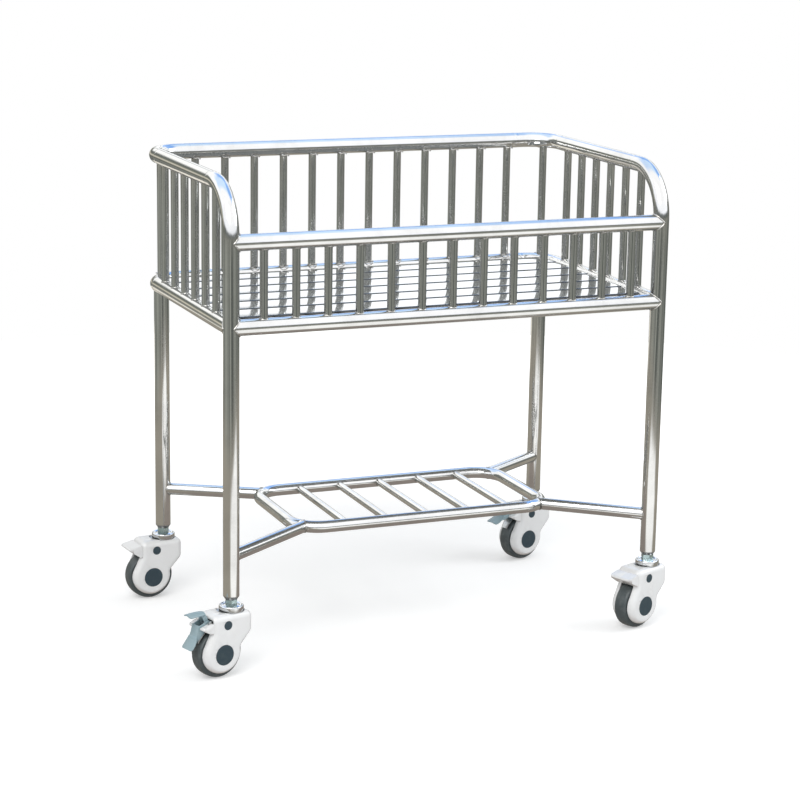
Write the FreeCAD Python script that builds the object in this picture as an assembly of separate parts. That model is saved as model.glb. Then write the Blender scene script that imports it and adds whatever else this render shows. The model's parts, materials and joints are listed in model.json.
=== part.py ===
import FreeCAD
import Part
import math
import os

from FreeCAD import Vector

# Hospital bassinet: a stainless steel tube frame with guards on all four sides, a base of flat slats,
# a small shelf on diagonal struts and four swivel casters, two of them braked.
# X runs along the length, -Y is the low front guard, Z is up and the floor is at zero. Millimetres.

# Tubes, outside diameter and wall
main_diameter = 32.0
main_wall = 1.5
upright_diameter = 16.0
upright_wall = 1.0
shelf_diameter = 25.0
shelf_wall = 1.2
weld_gap = 0.05

# Plan of the frame, between the centre lines of its tubes
frame_length = 914.0
frame_width = 538.0
corner_radius = 60.0
top_elbow_tail = 20.0

# Heights: the base and shelf above the floor, the guards' rails above the base
shelf_height = 236.0
base_height = 687.0
front_guard_height = 163.0
rear_guard_height = 269.0
front_bend_radius = 100.0
front_bend_tail = 15.0

# Uprights
front_upright_count = 13
rear_upright_count = 12
end_upright_count = 6
first_end_upright = 91.0
last_end_upright = 107.0

# Slats of the base: folded sheet, open below
slat_width = 72.0
slat_gap = 6.0
slat_depth = 14.0
slat_sheet = 1.2
slat_bend = 4.0
slat_rear_gap = 5.0
slat_drop = 7.0

# Shelf, between the centre lines of its tubes; it sits a little right of the frame's middle
shelf_length = 560.0
shelf_shift = 11.0
shelf_width = 295.0
shelf_front_offset = 134.0
shelf_corner_radius = 60.0
shelf_rod_count = 5
shelf_first_rod = 105.5
shelf_last_rod = 90.5

# Bush in the lower end of each leg
bush_length = 25.0
bush_foot = 8.0
bush_foot_radius = 11.5
bush_rim = 1.5
bush_clearance = 0.1
stem_clearance = 0.05

# Caster stem, bearing cap and fork
stem_diameter = 12.0
stem_length = 30.0
hex_across_flats = 22.0
hex_height = 11.7
kingpin_diameter = 14.0
rivet_diameter = 22.0
rivet_height = 4.0
race_diameter = 49.0
race_height = 11.0
race_rim_width = 4.0
race_rim_rise = 1.0
running_gap = 0.3
bearing_clearance = 0.05
crown_over_tyre = 23.0
crown_thickness = 4.0
crown_front = 20.0
crown_back = 42.0
fork_sheet = 3.0
fork_end_radius = 12.0
fork_shoulder = 20.0
fork_side_gap = 1.5

# Wheel
caster_trail = 35.0
wheel_diameter = 100.0
tyre_width = 30.0
tyre_depth = 14.0
tyre_shoulder = 3.0
hub_web = 8.0
hub_rim = 8.0
hub_step = 1.0
boss_diameter = 20.0
axle_diameter = 8.0
axle_head_diameter = 16.0
axle_head_height = 3.5

# Cover over each caster: two half shells, a head under the bearing cap and a disc beside the wheel.
# Places along the trail are measured from the tyre's back, heights from the tyre's top.
cover_half_width = 30.0
cover_wall = 2.5
cover_disc_radius = 43.5
cover_front = 32.0
cover_back_inset = 24.0
chin_drop = 12.0
heel_drop = 5.0
chin_angle = 14.0
heel_angle = 30.0
cover_corner = 13.0
cover_edge_round = 12.0
cover_seam = 0.1
race_hole_diameter = 56.0
race_hole_shift = 2.5
wheel_pocket_gap = 3.5
visor_half_width = 27.0
visor_corner = 2.5
visor_round = 13.0
beak_reach = 6.0
beak_tip_rise = 15.0
beak_root_rise = 22.0
horn_reach = 1.0
horn_tip_rise = 8.0
horn_root_rise = 16.0
mouth_depth = 4.0
mouth_half_width = 14.0
hub_cap_diameter = 41.0
screw_cap_diameter = 18.0
screw_cap_inset = 58.0
screw_cap_rise = 8.7
cap_thickness = 2.8
cap_clearance = 0.1

# Brake: a pedal and a release lever on one pin, and a strap over the tyre, placed like the cover
lever_sheet = 2.5
lever_gap = 0.5
pivot_inset = 25.0
pivot_rise = 14.0
pivot_diameter = 6.0
lever_boss_diameter = 13.0
pedal_half_width = 12.0
tread_half_width = 15.0
tread_round = 5.0
tread_top = (-1.0, 14.0)
tread_fold = (5.0, -10.0)
tread_end = (19.0, -27.0)
release_half_width = 13.0
release_rise = 38.5
release_root = 6.0
release_reach = 19.0
release_arm_width = 8.0
strap_half_width = 8.0
strap_arm_half_width = 5.0
strap_sheet = 2.5
strap_low_angle = 30.0
strap_high_angle = 62.0

# Rest direction of each caster, turned from +X about the swivel axis. Two are braked: one pedal
# is down and locked, and the other is up, where its release lever lies a little lower.
caster_angles = {"front_left": 196.0, "rear_left": 186.0, "front_right": 202.0, "rear_right": 195.0}
pedal_travel = 30.0
release_travel = 8.0
pedal_angles = {"front_left": 0.0, "rear_right": pedal_travel}

# Values that follow from the ones above
half_length = frame_length / 2
half_width = frame_width / 2
front_y = -half_width
rear_y = half_width
main_radius = main_diameter / 2
corner_inset = corner_radius * (1 - math.sqrt(0.5))
rear_leg_x = half_length - corner_inset
rear_leg_y = rear_y - corner_inset
front_rail_height = base_height + front_guard_height
top_rail_height = base_height + rear_guard_height
shelf_ends = {-1: shelf_shift - shelf_length / 2, 1: shelf_shift + shelf_length / 2}
shelf_front_y = front_y + shelf_front_offset
shelf_rear_y = shelf_front_y + shelf_width
shelf_inset = shelf_corner_radius * (1 - math.sqrt(0.5))
slat_top = base_height + main_radius - slat_drop
wheel_radius = wheel_diameter / 2
tyre_back = caster_trail + wheel_radius
tyre_top = wheel_diameter
crown_bottom = tyre_top + crown_over_tyre
crown_top = crown_bottom + crown_thickness
race_bottom = crown_top + running_gap
hex_bottom = race_bottom + race_height
hex_top = hex_bottom + hex_height
leg_end_height = hex_top + bush_foot
roof_inside = crown_top + running_gap
roof_top = roof_inside + cover_wall
cover_back = tyre_back - cover_back_inset
fork_inside = tyre_width / 2 + fork_side_gap
fork_outside = fork_inside + fork_sheet
pivot_x = tyre_back - pivot_inset
pivot_height = tyre_top + pivot_rise
screw_cap_x = tyre_back - screw_cap_inset
screw_cap_height = tyre_top + screw_cap_rise
pedal_inside = pedal_half_width - lever_sheet
release_outside = pedal_inside - lever_gap

across = Vector(0, 1, 0)
upward = Vector(0, 0, 1)
axle_point = Vector(caster_trail, 0, wheel_radius)
parts = {}


def straight(start, end):
    """A straight piece of tube: a function that makes it solid, at a given diameter."""
    def solid(diameter):
        run = end - start
        return Part.makeCylinder(diameter / 2, run.Length, start, run)
    return solid


def bend(start, centre, axis, angle):
    """A bent piece of tube that starts at a point and turns about an axis through the centre."""
    def solid(diameter):
        tangent = axis.cross(start - centre)
        section = Part.Face(Part.Wire(Part.makeCircle(diameter / 2, start, tangent)))
        return section.revolve(centre, axis, angle)
    return solid


def bar(path, diameter):
    """Solid bar along a path of straight and bent pieces."""
    pieces = [piece(diameter) for piece in path]
    if len(pieces) == 1:
        return pieces[0]
    return pieces[0].multiFuse(pieces[1:]).removeSplitter()


def tube(path, diameter, wall):
    return bar(path, diameter).cut(bar(path, diameter - 2 * wall))


def fitted(shape, neighbours):
    """The shape with its ends cut to the outside of the tubes that it is welded to."""
    for path, diameter in neighbours:
        shape = shape.cut(bar(path, diameter + 2 * weld_gap))
    return shape


def face_of(points):
    """Upright face in the XZ plane from its corner points."""
    corners = [Vector(x, 0, z) for x, z in points]
    return Part.Face(Part.makePolygon(corners + corners[:1]))


def rounded(face, radius):
    """The face with every corner, outward and inward, rounded to a radius."""
    return face.makeOffset2D(-radius).makeOffset2D(2 * radius).makeOffset2D(-radius).Faces[0]


def slab(face, low, high):
    """Solid from an upright face, between two values of Y."""
    moved = face.copy()
    moved.translate(Vector(0, low, 0))
    return moved.extrude(Vector(0, high - low, 0))


def turned(points, axis_point, axis):
    """Solid of revolution from points of radius and position along an axis."""
    side = Vector(1, 0, 0) if axis == upward else upward
    corners = [axis_point + side * radius + axis * place for radius, place in points]
    face = Part.Face(Part.makePolygon(corners + corners[:1]))
    return face.revolve(axis_point, axis, 360)


def round_bar(radius, low, high, x, z):
    """Cylinder along Y between two values of Y."""
    return Part.makeCylinder(radius, high - low, Vector(x, low, z), across)


def mirrored(shape):
    """Copy of a shape on the other side of the caster's middle plane."""
    return shape.mirror(Vector(0, 0, 0), across)


# Paths of the frame's tubes

def front_leg_path(side):
    x = side * half_length
    foot = Vector(x, front_y, leg_end_height)
    knee = Vector(x, front_y, top_rail_height - front_bend_radius)
    centre = knee + Vector(0, front_bend_radius, 0)
    head = centre + Vector(0, 0, front_bend_radius)
    tail = head + Vector(0, front_bend_tail, 0)
    return [straight(foot, knee), bend(knee, centre, Vector(-1, 0, 0), 90), straight(head, tail)]


def rear_leg_path(side):
    x = side * rear_leg_x
    return [straight(Vector(x, rear_leg_y, leg_end_height), Vector(x, rear_leg_y, base_height))]


def elbow_path(side, height, tail):
    """Rear corner of a ring, from the end rail round to the rear rail, with straight tails."""
    centre = Vector(side * (half_length - corner_radius), rear_y - corner_radius, height)
    start = centre + Vector(side * corner_radius, 0, 0)
    finish = centre + Vector(0, corner_radius, 0)
    path = [bend(start, centre, Vector(0, 0, side), 90)]
    if tail > 0:
        path.insert(0, straight(start - Vector(0, tail, 0), start))
        path.append(straight(finish, finish - Vector(side * tail, 0, 0)))
    return path


def cross_path(y, height, reach):
    return [straight(Vector(-reach, y, height), Vector(reach, y, height))]


def end_path(side, height, start_y, end_y):
    x = side * half_length
    return [straight(Vector(x, start_y, height), Vector(x, end_y, height))]


elbow_reach = corner_radius + top_elbow_tail
top_end_start = front_y + front_bend_radius + front_bend_tail
rear_top_path = cross_path(rear_y, top_rail_height, half_length - elbow_reach)
rear_base_path = cross_path(rear_y, base_height, half_length - corner_radius)
front_top_path = cross_path(front_y, front_rail_height, half_length)
front_base_path = cross_path(front_y, base_height, half_length)


def top_end_path(side):
    return end_path(side, top_rail_height, top_end_start, rear_y - elbow_reach)


def base_end_path(side):
    return end_path(side, base_height, front_y, rear_y - corner_radius)


def top_elbow_path(side):
    return elbow_path(side, top_rail_height, top_elbow_tail)


def base_elbow_path(side):
    return elbow_path(side, base_height, 0)


def main_tube(path):
    return tube(path, main_diameter, main_wall)


def welded(paths, diameter=main_diameter):
    return [(path, diameter) for path in paths]


# Frame

def make_legs_and_rails():
    both_legs = welded([front_leg_path(-1), front_leg_path(1)])
    for side, word in ((-1, "left"), (1, "right")):
        parts["front_leg_" + word] = main_tube(front_leg_path(side))
        leg_top = welded([base_elbow_path(side)])
        parts["rear_leg_" + word] = fitted(main_tube(rear_leg_path(side)), leg_top)
        parts["top_elbow_" + word] = main_tube(top_elbow_path(side))
        parts["base_elbow_" + word] = main_tube(base_elbow_path(side))
    sides = (-1, 1)
    front_joints = both_legs + welded([front_base_path])
    base_rails = [fitted(main_tube(base_end_path(side)), front_joints) for side in sides]
    parts["end_top_rails"] = Part.makeCompound([main_tube(top_end_path(side)) for side in sides])
    parts["end_base_rails"] = Part.makeCompound(base_rails)
    parts["rear_top_rail"] = main_tube(rear_top_path)
    parts["rear_base_rail"] = main_tube(rear_base_path)
    parts["front_top_rail"] = fitted(main_tube(front_top_path), both_legs)
    parts["front_base_rail"] = fitted(main_tube(front_base_path), both_legs)


def upright(x, y, low, high, low_path, high_path):
    """Thin upright between two tubes, its ends cut to them."""
    body = tube([straight(Vector(x, y, low), Vector(x, y, high))], upright_diameter, upright_wall)
    return fitted(body, welded([low_path, high_path]))


def make_uprights():
    pitch = frame_length / (front_upright_count + 1)
    front = []
    for number in range(front_upright_count):
        x = (number + 1) * pitch - half_length
        front.append(upright(x, front_y, base_height, front_rail_height, front_base_path, front_top_path))
    parts["front_uprights"] = Part.makeCompound(front)

    rear = []
    for number in range(rear_upright_count):
        x = (number - (rear_upright_count - 1) / 2) * pitch
        rear.append(upright(x, rear_y, base_height, top_rail_height, rear_base_path, rear_top_path))
    for side in (-1, 1):
        corner = (side * rear_leg_x, rear_leg_y, base_height, top_rail_height)
        rear.append(upright(*corner, base_elbow_path(side), top_elbow_path(side)))
    parts["rear_uprights"] = Part.makeCompound(rear)

    row_length = frame_width - first_end_upright - last_end_upright
    end_pitch = row_length / (end_upright_count - 1)
    for side, word in ((-1, "left"), (1, "right")):
        top_path = front_leg_path(side) + top_end_path(side) + top_elbow_path(side)
        end = []
        for number in range(end_upright_count):
            y = front_y + first_end_upright + number * end_pitch
            x = side * half_length
            end.append(upright(x, y, base_height, top_rail_height, base_end_path(side), top_path))
        parts["end_uprights_" + word] = Part.makeCompound(end)


def slat_section(rear_edge):
    """Section of one folded slat, across its length, with its top at the height of the base."""
    front_edge = rear_edge - slat_width
    middle = (front_edge + rear_edge) / 2
    outer = Part.makeBox(2 * half_length, slat_width, 2 * slat_depth)
    outer.translate(Vector(-half_length, front_edge, slat_top - 2 * slat_depth))
    corners = [edge for edge in outer.Edges if is_long_top_edge(edge)]
    outer = outer.makeFillet(slat_bend, corners)
    inner = Part.makeBox(2 * half_length, slat_width - 2 * slat_sheet, 2 * slat_depth)
    inner.translate(Vector(-half_length, front_edge + slat_sheet, slat_top - slat_sheet - 2 * slat_depth))
    corners = [edge for edge in inner.Edges if is_long_top_edge(edge, slat_sheet)]
    inner = inner.makeFillet(slat_bend - slat_sheet, corners)
    below = Part.makeBox(2 * half_length, 2 * slat_width, 2 * slat_depth)
    below.translate(Vector(-half_length, middle - slat_width, slat_top - 3 * slat_depth))
    return outer.cut(inner).cut(below)


def is_long_top_edge(edge, drop=0.0):
    level = edge.BoundBox.ZMin > slat_top - drop - 0.01 and edge.BoundBox.ZLength < 0.01
    return level and edge.BoundBox.XLength > half_length


def make_slats():
    ends = [path for side in (-1, 1) for path in (base_end_path(side), base_elbow_path(side))]
    slats = []
    first_edge = rear_y - main_radius - slat_rear_gap
    pitch = slat_width + slat_gap
    slat_count = int((first_edge - front_y - main_radius) / pitch)
    for number in range(slat_count):
        rear_edge = first_edge - number * pitch
        slats.append(fitted(slat_section(rear_edge), welded(ends)))
    parts["base_slats"] = Part.makeCompound(slats)


# Shelf

def shelf_corner(side_x, side_y):
    """Bent corner of the shelf's ring, from its end bar to its long bar."""
    edge_y = shelf_rear_y if side_y > 0 else shelf_front_y
    x = shelf_ends[side_x] - side_x * shelf_corner_radius
    centre = Vector(x, edge_y - side_y * shelf_corner_radius, shelf_height)
    start = centre + Vector(side_x * shelf_corner_radius, 0, 0)
    return [bend(start, centre, Vector(0, 0, side_x * side_y), 90)]


def shelf_side(y):
    """Long bar of the shelf's ring, between its corners."""
    start = Vector(shelf_ends[-1] + shelf_corner_radius, y, shelf_height)
    return [straight(start, Vector(shelf_ends[1] - shelf_corner_radius, y, shelf_height))]


def make_shelf():
    front_path, rear_path = shelf_side(shelf_front_y), shelf_side(shelf_rear_y)
    bars = [tube(path, shelf_diameter, shelf_wall) for path in (front_path, rear_path)]
    for side in (-1, 1):
        start = Vector(shelf_ends[side], shelf_front_y + shelf_corner_radius, shelf_height)
        finish = Vector(shelf_ends[side], shelf_rear_y - shelf_corner_radius, shelf_height)
        bars.append(tube([straight(start, finish)], shelf_diameter, shelf_wall))
    parts["shelf_bars"] = Part.makeCompound(bars)

    corners = []
    struts = []
    for side_x in (-1, 1):
        for side_y in (-1, 1):
            corner = shelf_corner(side_x, side_y)
            corners.append(tube(corner, shelf_diameter, shelf_wall))
            struts.append(strut(side_x, side_y, corner))
    parts["shelf_corners"] = Part.makeCompound(corners)
    parts["shelf_struts"] = Part.makeCompound(struts)

    rods = []
    pitch = (shelf_length - shelf_first_rod - shelf_last_rod) / (shelf_rod_count - 1)
    for number in range(shelf_rod_count):
        x = shelf_ends[-1] + shelf_first_rod + number * pitch
        path = [straight(Vector(x, shelf_front_y, shelf_height), Vector(x, shelf_rear_y, shelf_height))]
        rod = tube(path, upright_diameter, upright_wall)
        rods.append(fitted(rod, welded([front_path, rear_path], shelf_diameter)))
    parts["shelf_rods"] = Part.makeCompound(rods)


def strut(side_x, side_y, corner):
    """Diagonal strut from a leg to the middle of a corner of the shelf."""
    if side_y > 0:
        leg_path = rear_leg_path(side_x)
        leg = Vector(side_x * rear_leg_x, rear_leg_y, shelf_height)
        ring_y = shelf_rear_y - shelf_inset
    else:
        leg_path = front_leg_path(side_x)
        leg = Vector(side_x * half_length, front_y, shelf_height)
        ring_y = shelf_front_y + shelf_inset
    ring = Vector(shelf_ends[side_x] - side_x * shelf_inset, ring_y, shelf_height)
    body = tube([straight(leg, ring)], shelf_diameter, shelf_wall)
    body = fitted(body, welded([leg_path]))
    return fitted(body, welded([corner], shelf_diameter))


# Casters, built with the swivel axis at the origin, the wheel trailing along +X and its axle along Y

def leg_bush():
    """Solid bush in the leg's end, bored for the caster's stem, with a tapered foot."""
    inside = main_radius - main_wall - bush_clearance
    top = leg_end_height + bush_length
    bore = stem_diameter / 2 + stem_clearance
    outline = [(bore, hex_top), (bush_foot_radius, hex_top), (main_radius, leg_end_height - bush_rim),
               (main_radius, leg_end_height), (inside, leg_end_height), (inside, top), (bore, top)]
    return turned(outline, Vector(0, 0, 0), upward)


def stem():
    """Threaded stem with its hexagon, kingpin and rivet head, in one piece."""
    corner_radius_of_hex = hex_across_flats / math.sqrt(3)
    corners = [Vector(corner_radius_of_hex * math.cos(math.radians(60 * number)),
                      corner_radius_of_hex * math.sin(math.radians(60 * number)), hex_bottom)
               for number in range(7)]
    hexagon = Part.Face(Part.makePolygon(corners)).extrude(Vector(0, 0, hex_height))
    shank = Part.makeCylinder(stem_diameter / 2, stem_length, Vector(0, 0, hex_top))
    rivet_top = crown_bottom - running_gap
    kingpin = Part.makeCylinder(kingpin_diameter / 2, hex_bottom - rivet_top, Vector(0, 0, rivet_top))
    head = Part.makeCylinder(rivet_diameter / 2, rivet_height, Vector(0, 0, rivet_top - rivet_height))
    return hexagon.multiFuse([shank, kingpin, head]).removeSplitter()


def race_cap():
    """Dished bearing cap round the kingpin, under the hexagon."""
    outer = race_diameter / 2
    bore = kingpin_diameter / 2 + bearing_clearance
    dish = outer - race_rim_width
    rim_top = hex_bottom + race_rim_rise
    outline = [(bore, race_bottom), (outer - race_rim_rise, race_bottom),
               (outer, race_bottom + race_rim_rise), (outer, rim_top - race_rim_rise),
               (outer - race_rim_rise, rim_top), (dish, rim_top),
               (dish - race_rim_width, hex_bottom), (bore, hex_bottom)]
    return turned(outline, Vector(0, 0, 0), upward)


def fork(braked):
    """Crown plate and two fork blades; a braked caster's blades also carry the pedal's pin."""
    crown = Part.makeBox(crown_front + crown_back, 2 * fork_outside, crown_thickness,
                         Vector(-crown_front, -fork_outside, crown_bottom))
    hole = Part.makeCylinder(kingpin_diameter / 2 + bearing_clearance, crown_thickness,
                             Vector(0, 0, crown_bottom))
    side = face_of([(-fork_shoulder, crown_bottom), (crown_back, crown_bottom),
                    (caster_trail + fork_end_radius, wheel_radius),
                    (caster_trail - fork_end_radius, wheel_radius)])
    pieces = [slab(side, fork_inside, fork_outside),
              round_bar(fork_end_radius, fork_inside, fork_outside, caster_trail, wheel_radius)]
    if braked:
        ear = face_of([(crown_back - 2 * pivot_diameter, crown_bottom), (crown_back, crown_bottom),
                       (pivot_x, pivot_height + pivot_diameter), (pivot_x, pivot_height - pivot_diameter),
                       (crown_back - pivot_diameter, pivot_height - 2 * pivot_diameter)])
        pieces.append(slab(ear, fork_inside, fork_outside))
        pieces.append(round_bar(pivot_diameter, fork_inside, fork_outside, pivot_x, pivot_height))
    blade = pieces[0].multiFuse(pieces[1:])
    blade = blade.cut(round_bar(axle_diameter / 2 + bearing_clearance, 0, fork_outside,
                                caster_trail, wheel_radius))
    pieces = [blade, mirrored(blade)]
    if braked:
        pieces.append(round_bar(pivot_diameter / 2, -fork_outside, fork_outside, pivot_x, pivot_height))
        pieces.extend(brake_strap())
    return crown.cut(hole).multiFuse(pieces).removeSplitter()


def brake_strap():
    """Curved strap in front of the tyre, and its arm up to the brake's pin."""
    inner = wheel_radius + wheel_pocket_gap + running_gap
    outer = inner + strap_sheet
    ring = round_bar(outer, -strap_half_width, strap_half_width, caster_trail, wheel_radius)
    ring = ring.cut(round_bar(inner, -strap_half_width, strap_half_width, caster_trail, wheel_radius))
    corners = [(caster_trail, wheel_radius)]
    for angle in (strap_low_angle, strap_high_angle):
        turn = math.radians(angle)
        corners.append((caster_trail + 2 * outer * math.cos(turn), wheel_radius + 2 * outer * math.sin(turn)))
    arc = ring.common(slab(face_of(corners), -strap_half_width, strap_half_width))
    foot = wheel_radius + inner * math.sin(math.radians(strap_high_angle))
    arm = face_of([(pivot_x - strap_sheet / 2, foot), (pivot_x + strap_sheet, foot),
                   (pivot_x + strap_sheet / 2, pivot_height), (pivot_x - strap_sheet / 2, pivot_height)])
    return [arc, slab(arm, -strap_arm_half_width, strap_arm_half_width)]


def axle():
    head_out = fork_outside + axle_head_height
    pin = round_bar(axle_diameter / 2, -fork_outside, fork_outside, caster_trail, wheel_radius)
    heads = [round_bar(axle_head_diameter / 2, fork_outside, head_out, caster_trail, wheel_radius),
             round_bar(axle_head_diameter / 2, -head_out, -fork_outside, caster_trail, wheel_radius)]
    return pin.multiFuse(heads).removeSplitter()


def wheel_hub():
    rim = wheel_radius - tyre_depth
    half = tyre_width / 2 - hub_step
    web = hub_web / 2
    boss = boss_diameter / 2
    boss_end = fork_inside - running_gap
    bore = axle_diameter / 2 + bearing_clearance
    outline = [(bore, -boss_end), (boss, -boss_end), (boss, -web), (rim - hub_rim, -web),
               (rim - hub_rim, -half), (rim, -half), (rim, half), (rim - hub_rim, half),
               (rim - hub_rim, web), (boss, web), (boss, boss_end), (bore, boss_end)]
    return turned(outline, axle_point, across)


def tyre():
    inner = wheel_radius - tyre_depth
    half = tyre_width / 2
    outline = [(inner, -half), (wheel_radius, -half), (wheel_radius, half), (inner, half)]
    body = turned(outline, axle_point, across)
    shoulders = [edge for edge in body.Edges if is_circle_of(edge, wheel_radius)]
    return body.makeFillet(tyre_shoulder, shoulders)


def is_circle_of(edge, radius):
    return edge.Curve.TypeId == "Part::GeomCircle" and abs(edge.Curve.Radius - radius) < 0.01


def disc_point(angle):
    """Point on the rim of the cover's disc, at an angle from the trail direction."""
    turn = math.radians(angle)
    x = caster_trail + cover_disc_radius * math.cos(turn)
    return (x, wheel_radius + cover_disc_radius * math.sin(turn))


def cover_outline():
    """Side view of the cover: a head under the crown and a disc beside the wheel."""
    head = face_of([(-cover_front, roof_top), (cover_back, roof_top), (cover_back, tyre_top - heel_drop),
                    disc_point(heel_angle), (caster_trail, wheel_radius), disc_point(180 - chin_angle),
                    (-cover_front, tyre_top - chin_drop)])
    disc = round_bar(cover_disc_radius, 0, cover_wall, caster_trail, wheel_radius)
    both = slab(head, 0, cover_wall).fuse(disc).removeSplitter()
    side = [face for face in both.Faces if face.BoundBox.YMax < cover_wall / 2][0]
    return rounded(side, cover_corner)


def far_rim(solid):
    """Edges of a solid's outermost side face."""
    face = max(solid.Faces, key=lambda side: side.CenterOfMass.y)
    return face.Edges


def cover_half(braked):
    """One half of the cover, on the +Y side of the wheel."""
    outline = cover_outline()
    outside = slab(outline, cover_seam / 2, cover_half_width)
    outside = outside.makeFillet(cover_edge_round, far_rim(outside))
    inside = slab(outline.makeOffset2D(-cover_wall).Faces[0], -cover_wall, cover_half_width - cover_wall)
    inside = inside.makeFillet(cover_edge_round - cover_wall, far_rim(inside))
    shell = outside.cut(inside)
    if braked:
        shell = shell.cut(pedal_mouth()).fuse(horn()).cut(ear_room())
    else:
        shell = shell.fuse(beak())
    race_hole = Part.makeCylinder(race_hole_diameter / 2, 2 * cover_wall,
                                  Vector(race_hole_shift, 0, roof_inside - running_gap))
    pocket = round_bar(wheel_radius + wheel_pocket_gap, -cover_wall, fork_inside, caster_trail, wheel_radius)
    hub_hole = round_bar(hub_cap_diameter / 2 + cap_clearance, fork_outside, cover_half_width,
                         caster_trail, wheel_radius)
    screw_hole = round_bar(screw_cap_diameter / 2 + cap_clearance, fork_outside, cover_half_width,
                           screw_cap_x, screw_cap_height)
    for opening in (race_hole, pocket, hub_hole, screw_hole):
        shell = shell.cut(opening)
    return shell.removeSplitter()


def visor(root_x, root_height, tip_x, tip_height, low):
    """Pointed piece that stands out from the cover's back, over the tyre."""
    heel_height = tyre_top - heel_drop
    side = face_of([(root_x, root_height), (cover_back, root_height), (tip_x, tip_height),
                    (cover_back, heel_height), (root_x, heel_height)])
    plan = Part.makeBox(tip_x - root_x, 2 * visor_half_width, roof_top,
                        Vector(root_x, -visor_half_width, 0))
    tip_edges = [edge for edge in plan.Edges if edge.BoundBox.XMin > tip_x - 1 and edge.BoundBox.YLength < 1
                 and edge.BoundBox.ZLength > 1]
    plan = plan.makeFillet(visor_round, tip_edges)
    return slab(rounded(side, visor_corner), low, visor_half_width).common(plan)


def beak():
    """Visor over the tread of an unbraked wheel."""
    return visor(cover_back - cover_wall, tyre_top + beak_root_rise, tyre_back + beak_reach,
                 tyre_top + beak_tip_rise, cover_seam / 2)


def horn():
    """Pointed cheek beside the pedal of a braked caster."""
    return visor(cover_back - mouth_depth, tyre_top + horn_root_rise, tyre_back + horn_reach,
                 tyre_top + horn_tip_rise, mouth_half_width)


def ear_room():
    """Room inside the cover for the fork's ear and the brake's pin."""
    start = pivot_x - 2 * pivot_diameter
    finish = pivot_x + pivot_diameter + running_gap
    low = pivot_height - 2 * pivot_diameter - running_gap
    high = pivot_height + pivot_diameter + running_gap
    room = face_of([(start, low), (finish, low), (finish, high), (start, high)])
    pin = round_bar(pivot_diameter / 2 + running_gap, 0, fork_inside, pivot_x, pivot_height)
    return slab(room, fork_inside - running_gap, fork_outside + running_gap).fuse(pin)


def pedal_mouth():
    """Space cut out of the cover's back for the pedal."""
    start = cover_back - mouth_depth
    finish = tyre_back + visor_half_width
    notch = face_of([(start, roof_top + 1), (finish, roof_top + 1), (finish, tyre_top + horn_tip_rise),
                     (start, tyre_top + horn_root_rise)])
    slot = face_of([(start, roof_top + 1), (finish, roof_top + 1), (finish, wheel_radius),
                    (start, wheel_radius)])
    return slab(notch, -1, cover_half_width + 1).fuse(slab(slot, -1, mouth_half_width))


def caps():
    """Round caps over the axle and the cover screw, on both sides."""
    face = cover_half_width + running_gap
    back = face - cap_thickness
    hub = round_bar(hub_cap_diameter / 2, back, face, caster_trail, wheel_radius)
    screw = round_bar(screw_cap_diameter / 2, back, face, screw_cap_x, screw_cap_height)
    return Part.makeCompound([hub, screw, mirrored(hub), mirrored(screw)])


def on_pin(body):
    """A lever bored for the brake's pin."""
    radius = pivot_diameter / 2 + bearing_clearance
    return body.cut(round_bar(radius, -tread_half_width, tread_half_width, pivot_x, pivot_height))


def under(start, end):
    """Step from the upper face of a plate between two points of the side view to its lower face."""
    run = Vector(end[0] - start[0], 0, end[1] - start[1])
    run.normalize()
    return across.cross(run) * lever_sheet


def below(point, step):
    """Point of the side view moved by a step."""
    return (point[0] + step.x, point[1] + step.z)


def plate(start, end, half):
    """Flat plate between two points of the side view, under their line."""
    step = under(start, end)
    return slab(face_of([start, end, below(end, step), below(start, step)]), -half, half)


def rounded_tip(body, end, half):
    """The plate with the two corners at its far end rounded."""
    tip = Vector(end[0], 0, end[1])
    tips = [edge for edge in body.Edges if edge.BoundBox.YLength < 1 and is_near(edge, tip, half)]
    return body.makeFillet(tread_round, tips)


def is_near(edge, tip, half):
    """True for an edge whose middle is beside the plate's tip."""
    middle = edge.CenterOfMass
    return (Vector(middle.x, 0, middle.z) - tip).Length < lever_sheet and abs(middle.y) > half - 1


def pedal():
    """Brake pedal: two cheeks on the pin and a folded plate to tread on, wider at its end."""
    radius = lever_boss_diameter / 2
    thick = lever_sheet
    top, fold, end = [(tyre_back + x, tyre_top + z) for x, z in (tread_top, tread_fold, tread_end)]
    cheek = face_of([(pivot_x, pivot_height - radius), (pivot_x, pivot_height + radius), top, fold,
                     (end[0] - 2 * thick, end[1] + thick), (fold[0] - 3 * thick, fold[1] - 2 * thick)])
    cheek = slab(cheek, pedal_inside, pedal_half_width)
    boss = round_bar(radius, pedal_inside, pedal_half_width, pivot_x, pivot_height)
    upper = plate(top, fold, pedal_half_width)
    bend_face = face_of([fold, below(fold, under(top, fold)), below(fold, under(fold, end))])
    fold_bar = slab(bend_face, -pedal_half_width, pedal_half_width)
    lower = rounded_tip(plate(fold, end, tread_half_width), end, tread_half_width)
    pieces = [boss, mirrored(cheek), mirrored(boss), upper, fold_bar, lower]
    return on_pin(cheek.multiFuse(pieces).removeSplitter())


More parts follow.
